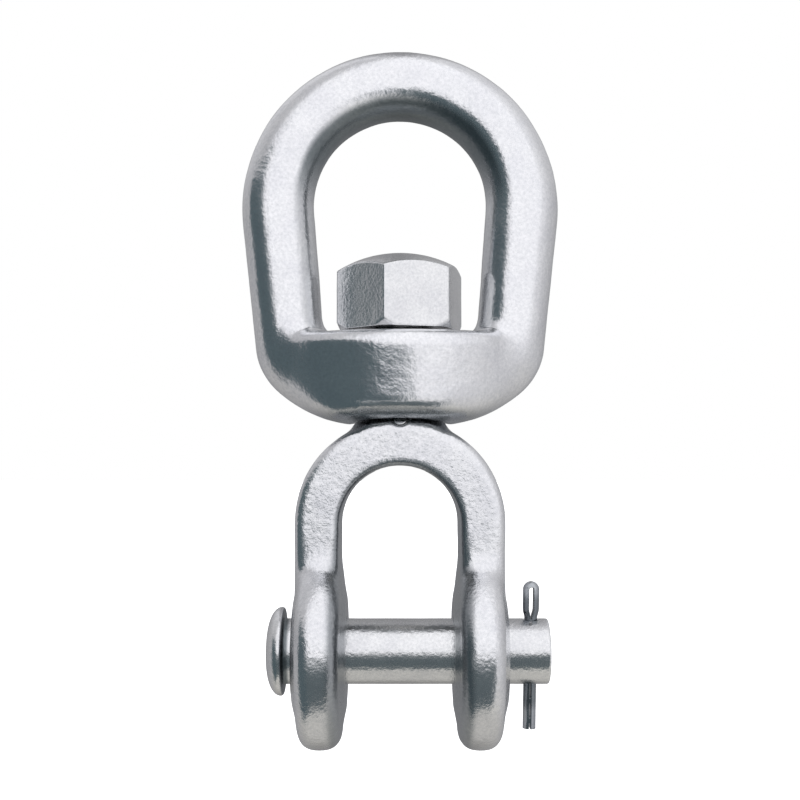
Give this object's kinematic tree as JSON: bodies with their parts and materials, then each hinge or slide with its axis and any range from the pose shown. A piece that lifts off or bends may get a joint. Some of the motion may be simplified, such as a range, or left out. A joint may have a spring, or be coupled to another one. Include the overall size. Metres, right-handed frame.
{
  "type": "anchor swivel",
  "caption": "Galvanised forged swivel: closed bow on a hex-headed swivel bolt above a forked jaw with a headed clevis pin and split cotter pin.",
  "frame": {"origin": "where the swivel axis crosses the clevis pin's axis, in the middle of the jaw's opening", "axes": "+Z along the swivel axis from jaw to bow, +X along the clevis pin from its head to its cotter pin, Y through the bow's eye"},
  "size_m": [0.0794, 0.0478, 0.1739],
  "materials": {
    "forged_galvanised": "hot-dip galvanised forging, satin, finely pebbled",
    "bolt_galvanised": "hot-dip galvanised bolt head, satin",
    "pin_galvanised": "galvanised turned pin, satin",
    "wire_galvanised": "zinc-plated half-round wire, smooth"
  },
  "bodies": {
    "bow": {"bow": "forged_galvanised"},
    "jaw": {"jaw": "forged_galvanised", "swivel_bolt": "bolt_galvanised", "lock_pin": "bolt_galvanised"},
    "clevis_pin": {"clevis_pin": "pin_galvanised"},
    "cotter_pin": {"cotter_pin": "wire_galvanised"}
  },
  "joints": [
    {"name": "swivel", "type": "hinge", "parent": "bow", "child": "jaw", "pos_m": [0, 0, 0.0676], "axis": [0, 0, 1], "continuous": true},
    {"name": "clevis_pin_spin", "type": "hinge", "parent": "jaw", "child": "clevis_pin", "pos_m": [0, 0, 0], "axis": [1, 0, 0], "continuous": true},
    {"name": "cotter_pin_pull", "type": "slide", "parent": "clevis_pin", "child": "cotter_pin", "axis": [0.0209, 0, 0.9998], "range_m": [0, 0.03]}
  ]
}
